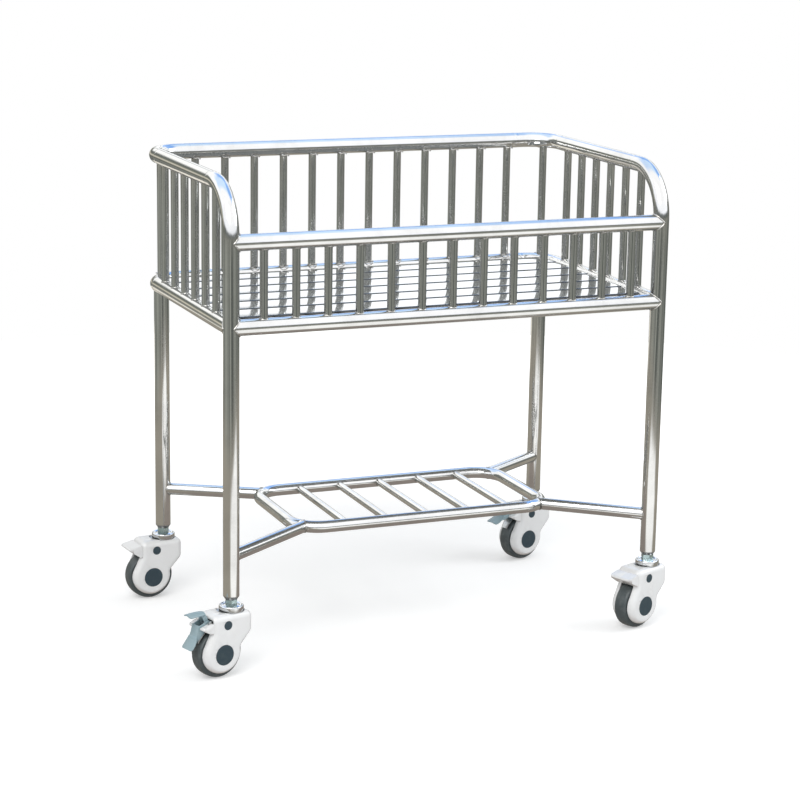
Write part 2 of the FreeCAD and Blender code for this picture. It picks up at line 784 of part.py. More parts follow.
def release_lever():
    """Lever over the pedal: two arms on the pin under a flat tab."""
    radius = lever_boss_diameter / 2
    start = pivot_x + release_root
    height = tyre_top + release_rise
    arm = face_of([(pivot_x - radius / 2, pivot_height), (pivot_x + radius, pivot_height),
                   (start + release_arm_width, height - lever_sheet / 2), (start, height - lever_sheet / 2)])
    arm_inside = release_outside - lever_sheet
    arm = slab(arm, arm_inside, release_outside)
    boss = round_bar(radius, arm_inside, release_outside, pivot_x, pivot_height)
    end = (tyre_back + release_reach, height)
    tab = rounded_tip(plate((start, height), end, release_half_width), end, release_half_width)
    body = arm.multiFuse([boss, mirrored(arm), mirrored(boss), tab]).removeSplitter()
    return on_pin(body)


def caster_points():
    """Place of each caster's swivel axis in the frame."""
    return {"front_left": (-half_length, front_y), "front_right": (half_length, front_y),
            "rear_left": (-rear_leg_x, rear_leg_y), "rear_right": (rear_leg_x, rear_leg_y)}


def make_casters():
    bushes = []
    for name, (x, y) in caster_points().items():
        braked = name in pedal_angles
        half_cover = cover_half(braked)
        pieces = {"stem": stem(), "race_cap": race_cap(), "fork": fork(braked), "axle": axle(),
                  "wheel_hub": wheel_hub(), "tyre": tyre(), "caps": caps(),
                  "cover": Part.makeCompound([half_cover, mirrored(half_cover)])}
        if braked:
            turn = pedal_angles[name]
            pin = Vector(pivot_x, 0, pivot_height)
            pieces["brake_pedal"] = pedal()
            pieces["brake_pedal"].rotate(pin, across, -turn)
            pieces["release_lever"] = release_lever()
            pieces["release_lever"].rotate(pin, across, turn * release_travel / pedal_travel)
        for piece, shape in pieces.items():
            shape.rotate(Vector(0, 0, 0), upward, caster_angles[name])
            shape.translate(Vector(x, y, 0))
            parts[piece + "_" + name] = shape
        bush = leg_bush()
        bush.translate(Vector(x, y, 0))
        bushes.append(bush)
    parts["leg_bushes"] = Part.makeCompound(bushes)


def whole_box():
    """Smallest box round the whole part."""
    box = FreeCAD.BoundBox()
    for shape in parts.values():
        box.add(shape.optimalBoundingBox(False))
    return box


make_legs_and_rails()
make_uprights()
make_slats()
make_shelf()
make_casters()

# The origin is on the floor, at the middle of the whole part's box
middle = whole_box().Center
to_origin = Vector(-middle.x, -middle.y, 0)

os.makedirs("parts", exist_ok=True)
for node, shape in parts.items():
    shape.translate(to_origin)
    shape.exportStep("parts/" + node + ".step")
    print(node, len(shape.Solids), "solid(s)", round(shape.Volume / 1000, 1), "cm3")
print(len(parts), "nodes")
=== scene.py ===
import bpy
import json
import math
from mathutils import Matrix, Vector


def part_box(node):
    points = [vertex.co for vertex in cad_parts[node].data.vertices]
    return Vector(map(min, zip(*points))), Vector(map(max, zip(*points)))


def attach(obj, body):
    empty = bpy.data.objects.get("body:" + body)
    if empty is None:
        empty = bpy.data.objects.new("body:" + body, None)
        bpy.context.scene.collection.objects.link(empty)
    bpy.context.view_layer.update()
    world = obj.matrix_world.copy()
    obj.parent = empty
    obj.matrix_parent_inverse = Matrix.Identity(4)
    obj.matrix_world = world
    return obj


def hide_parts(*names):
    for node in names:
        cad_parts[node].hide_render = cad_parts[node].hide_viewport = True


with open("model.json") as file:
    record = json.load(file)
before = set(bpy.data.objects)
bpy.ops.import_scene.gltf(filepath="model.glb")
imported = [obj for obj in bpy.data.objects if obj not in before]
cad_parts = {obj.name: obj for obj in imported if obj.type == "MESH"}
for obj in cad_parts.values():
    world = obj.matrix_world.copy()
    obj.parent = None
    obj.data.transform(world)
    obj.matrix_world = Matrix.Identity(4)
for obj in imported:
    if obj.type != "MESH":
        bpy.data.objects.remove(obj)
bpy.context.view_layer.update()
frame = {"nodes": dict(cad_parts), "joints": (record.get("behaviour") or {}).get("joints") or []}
nodes = frame["nodes"]
corners = ("front_left", "front_right", "rear_left", "rear_right")
perMetre = 1000     # the casters are modelled in millimetres
print("bassinet: frame loaded,", len(nodes), "nodes")


def shader(tree, kind, inputs=None, **settings):
    # a shader node, with each input linked or set
    made = tree.nodes.new(kind)
    for key, value in settings.items():
        setattr(made, key, value)
    for key, value in (inputs or {}).items():
        if isinstance(value, bpy.types.NodeSocket):
            tree.links.new(value, made.inputs[key])
        else:
            made.inputs[key].default_value = value
    return made


def ramp(tree, fac, stops):
    made = shader(tree, "ShaderNodeValToRGB", {"Fac": fac})
    for stop in stops[2:]:
        made.color_ramp.elements.new(stop[0])
    for element, (place, colour) in zip(made.color_ramp.elements, stops):
        element.position = place
        element.color = (*colour, 1)
    return made.outputs["Color"]


def mixed(tree, share, first, second):
    return shader(tree, "ShaderNodeMix", {"Factor": share, 6: first, 7: second}, data_type="RGBA").outputs[2]


def grey(level):
    return (level, level, level)


def blankMaterial(name):
    material = bpy.data.materials.new(name)
    material.use_nodes = True
    material.node_tree.nodes.clear()
    return material, material.node_tree


# metals have smudges and faint polishing marks over a plain tone
metalPattern = {"smudgeDetail": 5, "smudgeRough": 0.6, "grainDetail": 3, "dullAt": 0.30, "toneAt": 0.62,
                "smoothAt": 0.66, "roughAt": 0.32, "bumpDepth": 0.0004}
polishedSteel = {"name": "polishedSteel", "tone": (0.80, 0.80, 0.80), "dull": (0.68, 0.68, 0.68),
                 "smudgeScale": 11, "grainScale": 420, "roughness": (0.07, 0.15), "bump": 0.006}
# the slats' fold colour is painted shade on their folded edges, where the gaps between them lie in shade
slatSteel = {"name": "slatSteel", "tone": (0.86, 0.87, 0.89), "dull": (0.78, 0.80, 0.83),
             "smudgeScale": 8, "grainScale": 300, "roughness": (0.05, 0.11), "bump": 0.012,
             "stretch": (1, 0.06, 1), "fold": (0.11, 0.11, 0.11), "foldFrom": 0.05, "foldTo": 0.26}
bushSteel = {"name": "bushSteel", "tone": (0.50, 0.50, 0.50), "dull": (0.33, 0.33, 0.34),
             "smudgeScale": 40, "grainScale": 800, "roughness": (0.25, 0.45), "bump": 0.08}
zincPlate = {"name": "zincPlate", "tone": (0.56, 0.58, 0.58), "dull": (0.40, 0.41, 0.42),
             "smudgeScale": 60, "grainScale": 500, "roughness": (0.26, 0.46), "bump": 0.10}
blueZinc = {"name": "blueZinc", "tone": (0.62, 0.78, 0.80), "dull": (0.46, 0.60, 0.63),
            "smudgeScale": 70, "grainScale": 500, "roughness": (0.20, 0.38), "bump": 0.08}
chromePlate = {"name": "chromePlate", "tone": (0.80, 0.81, 0.82), "dull": (0.62, 0.64, 0.67),
               "smudgeScale": 50, "grainScale": 700, "roughness": (0.05, 0.18), "bump": 0.03}
weldSteel = {"name": "weldSteel", "tone": (0.68, 0.67, 0.65), "dull": (0.36, 0.34, 0.32),
             "smudgeScale": 160, "grainScale": 900, "roughness": (0.18, 0.36), "bump": 0.16}


def makeMetal(settings):
    material, tree = blankMaterial(settings["name"])
    look = metalPattern
    place = shader(tree, "ShaderNodeTexCoord").outputs["Object"]
    stretch = shader(tree, "ShaderNodeMapping", {"Vector": place,
                                                 "Scale": settings.get("stretch", (1, 1, 1))})
    smudge = shader(tree, "ShaderNodeTexNoise", {"Vector": place, "Scale": settings["smudgeScale"],
                                                 "Detail": look["smudgeDetail"],
                                                 "Roughness": look["smudgeRough"]})
    grain = shader(tree, "ShaderNodeTexNoise", {"Vector": stretch.outputs["Vector"],
                                                "Scale": settings["grainScale"],
                                                "Detail": look["grainDetail"]})
    colour = ramp(tree, smudge.outputs["Fac"], [(look["dullAt"], settings["dull"]),
                                                (look["toneAt"], settings["tone"])])
    if "fold" in settings:
        # painted shade: the folded edges, which face along the part's depth, are painted dark, standing for
        # the shade in the gaps between the slats
        facing = shader(tree, "ShaderNodeNewGeometry").outputs["Normal"]
        across = shader(tree, "ShaderNodeSeparateXYZ", {0: facing}).outputs["Y"]
        sideways = shader(tree, "ShaderNodeMath", {0: across}, operation="ABSOLUTE").outputs[0]
        share = shader(tree, "ShaderNodeMapRange", {"Value": sideways, "From Min": settings["foldFrom"],
                                                     "From Max": settings["foldTo"]})
        colour = mixed(tree, share.outputs[0], colour, (*settings["fold"], 1))
    low, high = settings["roughness"]
    rough = shader(tree, "ShaderNodeMapRange", {"Value": smudge.outputs["Fac"],
                                                "From Min": look["smoothAt"], "From Max": look["roughAt"],
                                                "To Min": low, "To Max": high})
    bump = shader(tree, "ShaderNodeBump", {"Height": grain.outputs["Fac"], "Strength": settings["bump"],
                                           "Distance": look["bumpDepth"]})
    surface = shader(tree, "ShaderNodeBsdfPrincipled", {"Base Color": colour, "Metallic": 1.0,
                                                        "Roughness": rough.outputs["Result"],
                                                        "Normal": bump.outputs["Normal"]})
    shader(tree, "ShaderNodeOutputMaterial", {"Surface": surface.outputs["BSDF"]})
    return material


# plastics and rubber have faint worn patches and a fine grain
plasticPattern = {"patchDetail": 6, "patchRough": 0.65, "grainDetail": 2, "toneAt": 0.50, "wornAt": 0.78,
                  "smoothAt": 0.35, "roughAt": 0.70, "bumpDepth": 0.0004}
# the cover's under colour is painted shade on the faces turned down
coverPlastic = {"name": "coverPlastic", "tone": (0.88, 0.88, 0.88), "worn": (0.84, 0.83, 0.82),
                "patchScale": 22, "grainScale": 900, "roughness": (0.16, 0.30), "bump": 0.03, "coat": 0.3,
                "under": (0.60, 0.53, 0.48), "underShadeFrom": 0.25, "underShadeTo": 1.05}
pedalPlastic = {"name": "pedalPlastic", "tone": (0.30, 0.41, 0.45), "worn": (0.37, 0.47, 0.50),
                "patchScale": 70, "grainScale": 1200, "roughness": (0.30, 0.46), "bump": 0.06, "coat": 0.0}
capPlastic = {"name": "capPlastic", "tone": (0.034, 0.060, 0.078), "worn": (0.06, 0.09, 0.10),
              "patchScale": 90, "grainScale": 1500, "roughness": (0.28, 0.45), "bump": 0.06, "coat": 0.0}
hubPlastic = {"name": "hubPlastic", "tone": (0.20, 0.22, 0.24), "worn": (0.28, 0.29, 0.30),
              "patchScale": 60, "grainScale": 1000, "roughness": (0.35, 0.55), "bump": 0.08, "coat": 0.0}
tyreRubber = {"name": "tyreRubber", "tone": (0.070, 0.086, 0.090), "worn": (0.14, 0.155, 0.155),
              "patchScale": 55, "grainScale": 1400, "roughness": (0.30, 0.52), "bump": 0.10, "coat": 0.0}


def makePlastic(settings):
    material, tree = blankMaterial(settings["name"])
    look = plasticPattern
    place = shader(tree, "ShaderNodeTexCoord").outputs["Object"]
    patch = shader(tree, "ShaderNodeTexNoise", {"Vector": place, "Scale": settings["patchScale"],
                                                "Detail": look["patchDetail"],
                                                "Roughness": look["patchRough"]})
    grain = shader(tree, "ShaderNodeTexNoise", {"Vector": place, "Scale": settings["grainScale"],
                                                "Detail": look["grainDetail"]})
    colour = ramp(tree, patch.outputs["Fac"], [(look["toneAt"], settings["tone"]),
                                               (look["wornAt"], settings["worn"])])
    if "under" in settings:
        # painted shade: what faces down is darkened to a warm tone, standing for shade and the ground's warm
        # reflection
        facing = shader(tree, "ShaderNodeNewGeometry").outputs["Normal"]
        upward = shader(tree, "ShaderNodeSeparateXYZ", {0: facing}).outputs["Z"]
        share = shader(tree, "ShaderNodeMapRange", {"Value": upward, "From Min": -settings["underShadeFrom"],
                                                     "From Max": -settings["underShadeTo"]})
        colour = mixed(tree, share.outputs[0], colour, (*settings["under"], 1))
    low, high = settings["roughness"]
    rough = shader(tree, "ShaderNodeMapRange", {"Value": patch.outputs["Fac"],
                                                "From Min": look["smoothAt"], "From Max": look["roughAt"],
                                                "To Min": low, "To Max": high})
    bump = shader(tree, "ShaderNodeBump", {"Height": grain.outputs["Fac"], "Strength": settings["bump"],
                                           "Distance": look["bumpDepth"]})
    surface = shader(tree, "ShaderNodeBsdfPrincipled", {"Base Color": colour,
                                                        "Coat Weight": settings["coat"],
                                                        "Roughness": rough.outputs["Result"],
                                                        "Normal": bump.outputs["Normal"]})
    shader(tree, "ShaderNodeOutputMaterial", {"Surface": surface.outputs["BSDF"]})
    return material


finishes = {"polished_steel": makeMetal(polishedSteel), "slat_steel": makeMetal(slatSteel),
            "bush_steel": makeMetal(bushSteel), "zinc_plate": makeMetal(zincPlate),
            "blue_zinc": makeMetal(blueZinc), "chrome_plate": makeMetal(chromePlate),
            "cover_plastic": makePlastic(coverPlastic),
            "pedal_plastic": makePlastic(pedalPlastic), "cap_plastic": makePlastic(capPlastic),
            "hub_plastic": makePlastic(hubPlastic), "tyre_rubber": makePlastic(tyreRubber)}
weldFinish = makeMetal(weldSteel)
print("bassinet: finishes made,", len(finishes))

# which finish each family of nodes wears
finishOfNode = {"base_slats": "slat_steel", "leg_bushes": "bush_steel", "stem": "blue_zinc",
                "race_cap": "chrome_plate", "fork": "zinc_plate", "axle": "zinc_plate",
                "wheel_hub": "hub_plastic", "tyre": "tyre_rubber", "caps": "cap_plastic",
                "cover": "cover_plastic", "brake_pedal": "pedal_plastic", "release_lever": "pedal_plastic"}
solidFaces = {"mergeWithin": 0.000002, "crease": 32}    # metres and degrees


def finishFor(name):
    for family, finish in finishOfNode.items():
        if name.startswith(family):
            return finish
    return "polished_steel"


for name, piece in nodes.items():
    piece.data.materials.clear()
    piece.data.materials.append(finishes[finishFor(name)])
    piece.data.polygons.foreach_set("use_smooth", [True] * len(piece.data.polygons))
    weld = piece.modifiers.new("joinedFaces", "WELD")
    weld.merge_threshold = solidFaces["mergeWithin"]
    split = piece.modifiers.new("crispEdges", "EDGE_SPLIT")
    split.split_angle = math.radians(solidFaces["crease"])
print("bassinet: nodes dressed")


def selectNothing():
    if bpy.context.object and bpy.context.object.mode != "OBJECT":
        bpy.ops.object.mode_set(mode="OBJECT")
    bpy.ops.object.select_all(action="DESELECT")


def traceLine(points):
    # a single point drawn out along the line, as if clicked by hand
    selectNothing()
    bpy.ops.mesh.primitive_plane_add(size=1, location=(0, 0, 0))
    bpy.ops.object.mode_set(mode="EDIT")
    bpy.ops.mesh.merge(type="CENTER")
    bpy.ops.transform.translate(value=points[0])
    for before, after in zip(points, points[1:]):
        step = Vector(after) - Vector(before)
        bpy.ops.mesh.extrude_region_move(TRANSFORM_OT_translate={"value": step})
    bpy.ops.object.mode_set(mode="OBJECT")
    return bpy.context.object


def cutSheet(points, thickness):
    # an outline in the side view, filled and pulled out sideways
    sheet = traceLine(points)
    bpy.ops.object.mode_set(mode="EDIT")
    bpy.ops.mesh.select_all(action="SELECT")
    bpy.ops.mesh.edge_face_add()
    bpy.ops.mesh.extrude_region_move(TRANSFORM_OT_translate={"value": (0, thickness, 0)})
    bpy.ops.mesh.select_all(action="SELECT")
    bpy.ops.mesh.normals_make_consistent(inside=False)
    bpy.ops.object.mode_set(mode="OBJECT")
    return sheet


def turnProfile(points, steps, mergeWithin=0.0005):
    # a profile (radius, height) spun once round the upright axis
    profile = traceLine([(radius, 0, height) for radius, height in points])
    bpy.ops.object.mode_set(mode="EDIT")
    bpy.ops.mesh.select_all(action="SELECT")
    bpy.ops.mesh.spin(steps=steps, angle=math.tau, center=(0, 0, 0), axis=(0, 0, 1))
    bpy.ops.mesh.select_all(action="SELECT")
    bpy.ops.mesh.remove_doubles(threshold=mergeWithin)
    bpy.ops.mesh.normals_make_consistent(inside=False)
    bpy.ops.object.mode_set(mode="OBJECT")
    return profile


def applyModifier(piece, kind, **settings):
    selectNothing()
    bpy.context.view_layer.objects.active = piece
    piece.select_set(True)
    made = piece.modifiers.new(kind.lower(), kind)
    for key, value in settings.items():
        setattr(made, key, value)
    bpy.ops.object.modifier_apply(modifier=made.name)


def joinPieces(pieces):
    selectNothing()
    for piece in pieces:
        piece.select_set(True)
    bpy.context.view_layer.objects.active = pieces[0]
    bpy.ops.object.join()
    return pieces[0]


def ownCopy(piece, name):
    made = piece.copy()
    made.data = piece.data.copy()
    made.name = name
    bpy.context.scene.collection.objects.link(made)
    return made


def settle(piece, place, crease):
    # puts the piece where it belongs, with its object left at the origin
    selectNothing()
    piece.matrix_world = place @ piece.matrix_world
    piece.select_set(True)
    bpy.context.view_layer.objects.active = piece
    bpy.ops.object.transform_apply(location=True, rotation=True, scale=True)
    bpy.ops.object.shade_smooth_by_angle(angle=math.radians(crease))


def dress(piece, name, finish, body, replaced=()):
    piece.name = name
    piece.data.name = name
    piece.data.materials.clear()
    piece.data.materials.append(finish)
    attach(piece, body)
    if replaced:
        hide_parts(*replaced)


joints = {joint["name"]: joint for joint in frame["joints"]}


def casterPlace(corner):
    # where a caster stands and how it is turned: x trails, y is along the axle, z is up from the floor
    axle = joints["roll_" + corner]["axis"]
    x, y, _ = joints["swivel_" + corner]["pos_m"]
    turn = Matrix.Rotation(math.atan2(-axle[0], axle[1]), 4, "Z")
    return Matrix.Translation((x, y, 0)) @ turn @ Matrix.Scale(1 / perMetre, 4)


# brake pedal and release lever: line and cheek are (x, z) in the side view, half is half the width
# along the line, tip the radius of the end's corners, and cheekAt a cheek's place and thickness
leverShape = {"pin": (60, 114), "sheet": 2.4, "edge": 0.7, "cheekEdge": 0.5, "edgeSteps": 2, "crease": 35,
              "rows": 60, "columns": 20, "slopeStep": 0.02}
treadShape = {"line": [(84.3, 113.6), (85.6, 108), (88.0, 98), (89.7, 92.6), (92.0, 91.0), (93.6, 87),
                       (98.4, 80), (107, 69.2)],
              "half": [11.6, 11.8, 12.2, 12.9, 13.6, 15.4, 17.2, 17.6], "arch": 3.4, "tip": 6,
              "cheek": [(60, 107.6), (55.4, 109.6), (53.6, 114), (55.4, 118.4), (60, 120.4), (66, 119.6),
                        (76, 114.6), (81.5, 112.6), (84.6, 100), (87.6, 90.5), (92, 83), (88, 81.5), (80, 87),
                        (70, 99)],
              "cheekAt": (9.4, 2.3)}
releaseShape = {"line": [(66, 137.2), (72, 138.2), (80, 138.5), (92, 138.2), (104, 137.2)],
                "half": [11, 12.4, 12.9, 12.9, 12.9], "arch": 5.0, "tip": 6.0,
                "cheek": [(57.5, 114), (60, 108.6), (64.5, 110.6), (66.4, 114), (71, 124), (76.5, 134.6),
                          (66.6, 134.6), (61.5, 126)],
                "cheekAt": (6.4, 2.4)}
pedalRest = {"front_left": (0, 0), "rear_right": (30, -8)}   # how far pedal and lever are lifted


def aboutPin(degrees):
    pin = Vector((leverShape["pin"][0], 0, leverShape["pin"][1]))
    lift = Matrix.Rotation(math.radians(-degrees), 4, "Y")
    return Matrix.Translation(pin) @ lift @ Matrix.Translation(-pin)


def lineRuns(line):
    return [(Vector(b) - Vector(a)).length for a, b in zip(line, line[1:])]


def alongLine(line, share):
    # point and spread at a share of the line's length
    runs = lineRuns(line)
    left = share * sum(runs)
    for index, run in enumerate(runs):
        if left <= run or index == len(runs) - 1:
            part = min(1, left / run)
            return Vector(line[index]).lerp(Vector(line[index + 1]), part), index + part
        left -= run


def archedPlate(shape):
    selectNothing()
    bpy.ops.mesh.primitive_grid_add(x_subdivisions=leverShape["rows"], y_subdivisions=leverShape["columns"],
                                    size=2)
    plate = bpy.context.object
    total, step = sum(lineRuns(shape["line"])), leverShape["slopeStep"]
    for point in plate.data.vertices:
        share, side = (point.co.x + 1) / 2, point.co.y
        place, spread = alongLine(shape["line"], share)
        low = int(min(spread, len(shape["half"]) - 2))
        half = shape["half"][low] + (spread - low) * (shape["half"][low + 1] - shape["half"][low])
        short = max(0, shape["tip"] - (1 - share) * total)   # inside the rounded end
        half -= shape["tip"] - math.sqrt(max(0, shape["tip"] ** 2 - short ** 2))
        ahead, _ = alongLine(shape["line"], min(1, share + step))
        behind, _ = alongLine(shape["line"], max(0, share - step))
        run = (ahead - behind).normalized()
        drop = shape["arch"] * side * side * (half / max(shape["half"])) ** 2
        point.co = (place.x + run.y * drop, side * half, place.y - run.x * drop)
    bpy.ops.object.mode_set(mode="EDIT")
    bpy.ops.mesh.select_all(action="SELECT")
    bpy.ops.mesh.normals_make_consistent(inside=False)
    bpy.ops.object.mode_set(mode="OBJECT")
    if plate.data.polygons[0].normal.z < 0:
        plate.data.flip_normals()
    applyModifier(plate, "SOLIDIFY", thickness=leverShape["sheet"], offset=-1)
    applyModifier(plate, "BEVEL", width=leverShape["edge"], segments=leverShape["edgeSteps"],
                  limit_method="ANGLE")
    return plate


def makeLever(shape):
    start, thickness = shape["cheekAt"]
    cheeks = []
    for side in (1, -1):
        points = [(x, side * start, z) for x, z in shape["cheek"]]
        cheek = cutSheet(points, side * thickness)
        applyModifier(cheek, "BEVEL", width=leverShape["cheekEdge"], segments=leverShape["edgeSteps"],
                      limit_method="ANGLE")
        cheeks.append(cheek)
    return joinPieces([archedPlate(shape)] + cheeks)


tread, release = makeLever(treadShape), makeLever(releaseShape)
for corner, (treadLift, releaseLift) in pedalRest.items():
    for model, lift, name, body, node in ((tread, treadLift, "treadPedal", "pedal_", "brake_pedal_"),
                                          (release, releaseLift, "releaseTab", "release_",
                                           "release_lever_")):
        piece = ownCopy(model, name)
        settle(piece, casterPlace(corner) @ aboutPin(lift), leverShape["crease"])
        dress(piece, name + "_" + corner, finishes["pedal_plastic"], body + corner,
              [node + corner])
bpy.data.objects.remove(tread)
bpy.data.objects.remove(release)
print("bassinet: pedals made")


# the covers: under and ahead say how far the rim is drawn in, cap and rim are distances from the
# axle between which that grows, and it fades out from one height to the other
coverShape = {"axle": (35, 50), "cap": 24, "rim": 43.5, "under": 4.0, "ahead": 1.8,
              "fadeFrom": 100, "fadeTo": 76}
# the tyres and bearing caps: (radius, half width) and (radius, height) of what is turned
turnedShape = {"crease": 40, "largeFaces": 90}     # largeFaces: how far they lead the shading
tyreShape = {"steps": 112,
             "half": [(36, 15), (43.4, 15), (44.0, 14.6), (45.0, 14.6), (45.6, 15), (46.6, 14.7),
                      (47.9, 13.7), (48.8, 12.2), (49.4, 10.0), (49.7, 7.0), (49.8, 3.5), (49.8, 0.8),
                      (50.0, 0.4)]}
raceShape = {"steps": 96,
             "profile": [(7.2, 0), (23.3, 0), (24.1, 0.3), (24.5, 1.1), (24.5, 8.4), (24.4, 9.8),
                         (24.0, 10.9), (23.3, 11.6), (22.4, 11.95), (21.5, 11.9), (20.8, 11.4),
                         (20.3, 10.6), (19.5, 10.1), (17.8, 9.9), (15.6, 10.2), (14.6, 10.95), (7.2, 11)]}


def smoothShare(value, low, high):
    share = min(1, max(0, (value - low) / (high - low)))
    return share * share * (3 - 2 * share)


def evenShading(piece):
    applyModifier(piece, "WEIGHTED_NORMAL", mode="FACE_AREA", weight=turnedShape["largeFaces"],
                  keep_sharp=True)


def shapedCover(corner):
    # the cover's rim is drawn in below and ahead of the wheel, where the tyre shows past it
    cover = ownCopy(nodes["cover_" + corner], "castCover")
    cover.modifiers.clear()
    world = cover.matrix_world.copy()
    cover.parent = None
    cover.matrix_world = world
    selectNothing()
    cover.select_set(True)
    bpy.context.view_layer.objects.active = cover
    bpy.ops.object.mode_set(mode="EDIT")
    bpy.ops.mesh.select_all(action="SELECT")
    bpy.ops.mesh.remove_doubles(threshold=solidFaces["mergeWithin"])
    bpy.ops.object.mode_set(mode="OBJECT")
    toCaster = casterPlace(corner).inverted() @ cover.matrix_world
    back = toCaster.inverted()
    axleX, axleZ = coverShape["axle"]
    for point in cover.data.vertices:
        place = toCaster @ point.co
        away = math.hypot(place.x - axleX, place.z - axleZ)
        share = smoothShare(away, coverShape["cap"], coverShape["rim"])
        share *= smoothShare(place.z, coverShape["fadeFrom"], coverShape["fadeTo"])
        down, ahead = max(0, axleZ - place.z) / away, max(0, axleX - place.x) / away
        drawn = share * (coverShape["under"] * down + coverShape["ahead"] * ahead)
        place.x -= drawn * (place.x - axleX) / away
        place.z -= drawn * (place.z - axleZ) / away
        point.co = back @ place
    settle(cover, Matrix.Identity(4), solidFaces["crease"])
    evenShading(cover)
    return cover


def turnClosed(outline, steps):
    return turnProfile(outline + outline[:1], steps)


def makeTyre():
    half = tyreShape["half"]
    left, right = [(radius, -side) for radius, side in half], [(radius, side) for radius, side in half]
    return turnClosed(left + right[::-1], tyreShape["steps"])


def ownTurned(model, name, place):
    piece = ownCopy(model, name)
    settle(piece, place, turnedShape["crease"])
    evenShading(piece)
    return piece


tyreModel, raceModel = makeTyre(), turnClosed(raceShape["profile"], raceShape["steps"])
layOver = Matrix.Rotation(math.radians(90), 4, "X")     # from the upright axis onto the axle
for corner in corners:
    place = casterPlace(corner)
    axleX, axleZ = coverShape["axle"]
    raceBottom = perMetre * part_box("race_cap_" + corner)[0].z
    tyre = ownTurned(tyreModel, "tyreTread", place @ Matrix.Translation((axleX, 0, axleZ)) @ layOver)
    dress(tyre, "tyreTread_" + corner, finishes["tyre_rubber"], "wheel_" + corner,
          ["tyre_" + corner])
    race = ownTurned(raceModel, "bearingCap", place @ Matrix.Translation((0, 0, raceBottom)))
    dress(race, "bearingCap_" + corner, finishes["chrome_plate"], "frame",
          ["race_cap_" + corner])
    cover = shapedCover(corner)
    dress(cover, "castCover_" + corner, finishes["cover_plastic"], "caster_" + corner,
          ["cover_" + corner])
bpy.data.objects.remove(tyreModel)
bpy.data.objects.remove(raceModel)
print("bassinet: caster covers, tyres and bearing caps made")


# weld beads where the tubes meet: radii of the beads, and how low and wide a ground one is left
weldShape = {"main": 0.0021, "thin": 0.0015, "bar": 0.0012, "butt": 0.0015, "ground": (0.14, 3.0),
             "segments": 36, "sides": 8, "ripple": 0.22, "ripples": 17, "crease": 60}
tubeSize = {"main": 0.016, "bar": 0.008, "shelf": 0.0125, "rod": 0.008}     # radii
spanGap = 0.02      # solids of a node stand further apart than this
shelfBend = 0.06    # radius of the shelf's corners


def weldRing(centre, run, across, tube, host, bead):
    # a bead round the end of a tube that meets a host tube lying along across; host 0 is a butt joint,
    # whose bead is ground down to a low swelling
    low, wide = (1, 1) if host else weldShape["ground"]
    selectNothing()
    bpy.ops.mesh.primitive_torus_add(major_segments=weldShape["segments"], minor_segments=weldShape["sides"],
                                     major_radius=tube, minor_radius=bead)
    ring = bpy.context.object
    for point in ring.data.vertices:
        angle = math.atan2(point.co.y, point.co.x)
        swell = 1 + weldShape["ripple"] * math.sin(weldShape["ripples"] * angle)
        out = (math.hypot(point.co.x, point.co.y) - tube) * swell * low
        saddle = math.sqrt(max(0, host ** 2 - (tube * math.cos(angle)) ** 2))
        point.co = (math.cos(angle) * (tube + out), math.sin(angle) * (tube + out),
                    point.co.z * swell * wide + saddle)
    run, across = Vector(run).normalized(), Vector(across).normalized()
    turn = Matrix((across.cross(run), across, run)).transposed().to_4x4()
    ring.matrix_world = Matrix.Translation(Vector(centre)) @ turn
    return ring


def middleOf(node):
    low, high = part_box(node)
    return (low + high) / 2


def separateSpans(node, axis):
    # the solids of a node along one axis, each as (low, high)
    digits = 5      # places nearer than a hundredth of a millimetre count as one
    places = sorted({round(point.co[axis], digits) for point in nodes[node].data.vertices})
    spans = [[places[0], places[0]]]
    for place in places:
        if place - spans[-1][1] > spanGap:
            spans.append([place, place])
        spans[-1][1] = place
    return spans


legAxis = {corner: Vector(joints["swivel_" + corner]["pos_m"][:2]) for corner in corners}
baseRail, topRail = middleOf("rear_base_rail"), middleOf("rear_top_rail")
guardRail = middleOf("front_top_rail")
shelfLow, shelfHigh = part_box("shelf_bars")
shelfMiddle = (shelfLow + shelfHigh) / 2


def frameWelds():
    rings = []
    main, bead = tubeSize["main"], weldShape["main"]
    for side, corner in ((1, "front_left"), (-1, "front_right")):
        x, y = legAxis[corner]
        for height in (baseRail.z, guardRail.z):
            rings.append(weldRing((x, y, height), (side, 0, 0), (0, 0, 1), main, main, bead))
        rings.append(weldRing((x, y, baseRail.z), (0, 1, 0), (0, 0, 1), main, main, bead))
    for side, word in ((1, "left"), (-1, "right")):
        x, y = legAxis["rear_" + word]
        rings.append(weldRing((x, y, baseRail.z), (0, 0, -1), (side, 1, 0), main, main, bead))
    return rings


def buttWelds():
    # where two tubes meet end to end the bead is ground flush and polished
    rings = []
    main, bead = tubeSize["main"], weldShape["butt"]
    for side, word in ((1, "left"), (-1, "right")):
        x = legAxis["front_" + word].x
        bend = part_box("end_top_rails")[0].y
        rings.append(weldRing((x, bend, topRail.z), (0, 1, 0), (1, 0, 0), main, 0, bead))
        for ringName, height in (("top", topRail.z), ("base", baseRail.z)):
            low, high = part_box(ringName + "_elbow_" + word)
            inner, outer = (high.x, low.x + main) if side > 0 else (low.x, high.x - main)
            rings.append(weldRing((inner, high.y - main, height), (1, 0, 0), (0, 0, 1), main, 0, bead))
            rings.append(weldRing((outer, low.y, height), (0, 1, 0), (0, 0, 1), main, 0, bead))
    return rings


def barWelds():
    rings = []
    bar, main, bead = tubeSize["bar"], tubeSize["main"], weldShape["bar"]
    for node, axis, top in (("front_uprights", 0, guardRail), ("rear_uprights", 0, topRail),
                            ("end_uprights_left", 1, topRail), ("end_uprights_right", 1, topRail)):
        middle = middleOf(node)
        along = (1, 0, 0) if axis == 0 else (0, 1, 0)
        for low, high in separateSpans(node, axis):
            place = middle.copy()
            place[axis] = (low + high) / 2
            for height, way in ((baseRail.z, 1), (top.z, -1)):
                rings.append(weldRing((place.x, place.y, height), (0, 0, way), along, bar, main, bead))
    return rings


